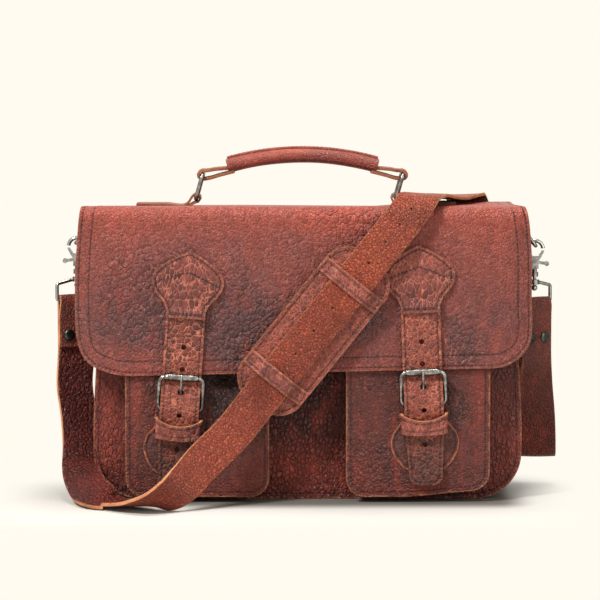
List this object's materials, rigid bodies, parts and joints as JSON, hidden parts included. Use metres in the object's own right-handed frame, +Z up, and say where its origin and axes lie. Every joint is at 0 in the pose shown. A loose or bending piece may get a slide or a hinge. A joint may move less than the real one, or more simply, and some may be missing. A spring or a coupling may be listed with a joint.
{
  "type": "satchel bag",
  "caption": "Leather satchel with a flap, buckled front pockets, a top handle and a shoulder strap with a pad on snap hooks.",
  "frame": {"origin": "middle of the base, on the surface that the bag stands on", "axes": "+X to the bag's right as seen from the front, +Y to the back, +Z up"},
  "size_m": [0.4611, 0.192, 0.3184],
  "materials": {
    "body_leather": "satin",
    "flap_leather": "satin",
    "patch_leather": "satin",
    "strap_leather": "satin",
    "hidden_filler": "matt",
    "nickel": "satin",
    "dark_nickel": "satin"
  },
  "bodies": {
    "bag": {"back_panel": "body_leather", "front_panel": "body_leather", "base_gusset": "body_leather", "left_gusset": "body_leather", "right_gusset": "body_leather", "left_pocket_front": "body_leather", "right_pocket_front": "body_leather", "left_pocket_gusset": "body_leather", "right_pocket_gusset": "body_leather", "left_lower_patch": "patch_leather", "right_lower_patch": "patch_leather", "left_keeper": "patch_leather", "right_keeper": "patch_leather", "left_side_tab": "patch_leather", "right_side_tab": "patch_leather", "side_tab_rivets": "dark_nickel", "left_swivel_loop": "nickel", "right_swivel_loop": "nickel", "strap_end_rivets": "dark_nickel", "shoulder_strap_left": "strap_leather", "shoulder_strap_rear": "strap_leather", "shoulder_strap_right": "strap_leather"},
    "flap": {"flap": "flap_leather", "left_upper_patch": "patch_leather", "right_upper_patch": "patch_leather", "left_closing_strap": "strap_leather", "right_closing_strap": "strap_leather", "left_handle_foot": "patch_leather", "right_handle_foot": "patch_leather", "shoulder_strap_front": "strap_leather"},
    "shoulder_pad": {"shoulder_pad": "patch_leather", "upper_pad_bridge": "patch_leather", "lower_pad_bridge": "patch_leather"},
    "left_handle_ring": {"left_handle_ring": "dark_nickel"},
    "right_handle_ring": {"right_handle_ring": "dark_nickel"},
    "handle": {"handle_strap": "strap_leather", "handle_core": "hidden_filler", "handle_grip": "flap_leather"},
    "left_buckle": {"left_buckle_frame": "dark_nickel"},
    "left_roller": {"left_buckle_roller": "dark_nickel"},
    "left_prong": {"left_buckle_prong": "dark_nickel"},
    "left_d_ring": {"left_d_ring": "dark_nickel"},
    "left_snap_hook": {"left_snap_hook": "nickel"},
    "left_hook_lever": {"left_hook_lever": "nickel"},
    "right_buckle": {"right_buckle_frame": "dark_nickel"},
    "right_roller": {"right_buckle_roller": "dark_nickel"},
    "right_prong": {"right_buckle_prong": "dark_nickel"},
    "right_d_ring": {"right_d_ring": "dark_nickel"},
    "right_snap_hook": {"right_snap_hook": "nickel"},
    "right_hook_lever": {"right_hook_lever": "nickel"}
  },
  "joints": [
    {"name": "flap_hinge", "type": "hinge", "parent": "bag", "child": "flap", "pos_m": [0, 0.0434, 0.2644], "axis": [-1, 0, 0], "range_deg": [0, 110], "deforming": ["left_closing_strap", "right_closing_strap", "shoulder_strap_front", "shoulder_strap_left", "shoulder_strap_rear", "shoulder_strap_right"]},
    {"name": "pad_slide", "type": "slide", "parent": "flap", "child": "shoulder_pad", "axis": [0.625, 0, 0.7806], "range_m": [-0.018, 0.018]},
    {"name": "left_ring_hinge", "type": "hinge", "parent": "flap", "child": "left_handle_ring", "pos_m": [-0.1009, -0.012, 0.27075], "axis": [0, 1, 0], "range_deg": [-77, 46]},
    {"name": "right_ring_hinge", "type": "hinge", "parent": "flap", "child": "right_handle_ring", "pos_m": [0.0801, -0.012, 0.27075], "axis": [0, 1, 0], "range_deg": [-77, 46]},
    {"name": "handle_hinge", "type": "hinge", "parent": "left_handle_ring", "child": "handle", "pos_m": [-0.09502, -0.012, 0.29195], "axis": [0, 1, 0], "range_deg": [-46, 77]},
    {"name": "left_buckle_hinge", "type": "hinge", "parent": "bag", "child": "left_buckle", "pos_m": [-0.1144, -0.07115, 0.084], "axis": [0.9977, 0, -0.068], "range_deg": [0, 80]},
    {"name": "left_prong_hinge", "type": "hinge", "parent": "left_buckle", "child": "left_prong", "pos_m": [-0.1144, -0.07115, 0.084], "axis": [0.9977, 0, -0.068], "range_deg": [0, 24]},
    {"name": "left_roller_spin", "type": "hinge", "parent": "left_buckle", "child": "left_roller", "pos_m": [-0.11236, -0.07705, 0.11393], "axis": [0.9977, 0, -0.068], "continuous": true},
    {"name": "left_d_ring_hinge", "type": "hinge", "parent": "bag", "child": "left_d_ring", "pos_m": [-0.1905, 0, 0.249], "axis": [0, -1, 0], "range_deg": [0, 10]},
    {"name": "left_hook_swivel", "type": "hinge", "parent": "bag", "child": "left_snap_hook", "pos_m": [-0.21064, 0, 0.19575], "axis": [0, 0, 1], "range_deg": [-12, 12]},
    {"name": "left_lever_hinge", "type": "hinge", "parent": "left_snap_hook", "child": "left_hook_lever", "pos_m": [-0.21214, 0, 0.21375], "axis": [0, 1, 0], "range_deg": [0, 25], "stiffness_Nm_per_rad": 0.02, "springref_deg": -8.59},
    {"name": "right_buckle_hinge", "type": "hinge", "parent": "bag", "child": "right_buckle", "pos_m": [0.1038, -0.07115, 0.089], "axis": [0.9993, 0, 0.0384], "range_deg": [0, 80]},
    {"name": "right_prong_hinge", "type": "hinge", "parent": "right_buckle", "child": "right_prong", "pos_m": [0.1038, -0.07115, 0.089], "axis": [0.9993, 0, 0.0384], "range_deg": [0, 24]},
    {"name": "right_roller_spin", "type": "hinge", "parent": "right_buckle", "child": "right_roller", "pos_m": [0.10265, -0.07705, 0.11898], "axis": [0.9993, 0, 0.0384], "continuous": true},
    {"name": "right_d_ring_hinge", "type": "hinge", "parent": "bag", "child": "right_d_ring", "pos_m": [0.1905, 0, 0.249], "axis": [0, 1, 0], "range_deg": [0, 6]},
    {"name": "right_hook_swivel", "type": "hinge", "parent": "bag", "child": "right_snap_hook", "pos_m": [0.20774, 0, 0.19314], "axis": [0, 0, 1], "range_deg": [-12, 12]},
    {"name": "right_lever_hinge", "type": "hinge", "parent": "right_snap_hook", "child": "right_hook_lever", "pos_m": [0.20924, 0, 0.21114], "axis": [0, -1, 0], "range_deg": [0, 25], "stiffness_Nm_per_rad": 0.02, "springref_deg": -8.59}
  ],
  "couplings": [
    {"joint": "right_ring_hinge", "follows": "left_ring_hinge", "ratio": 1},
    {"joint": "handle_hinge", "follows": "left_ring_hinge", "ratio": -1}
  ]
}
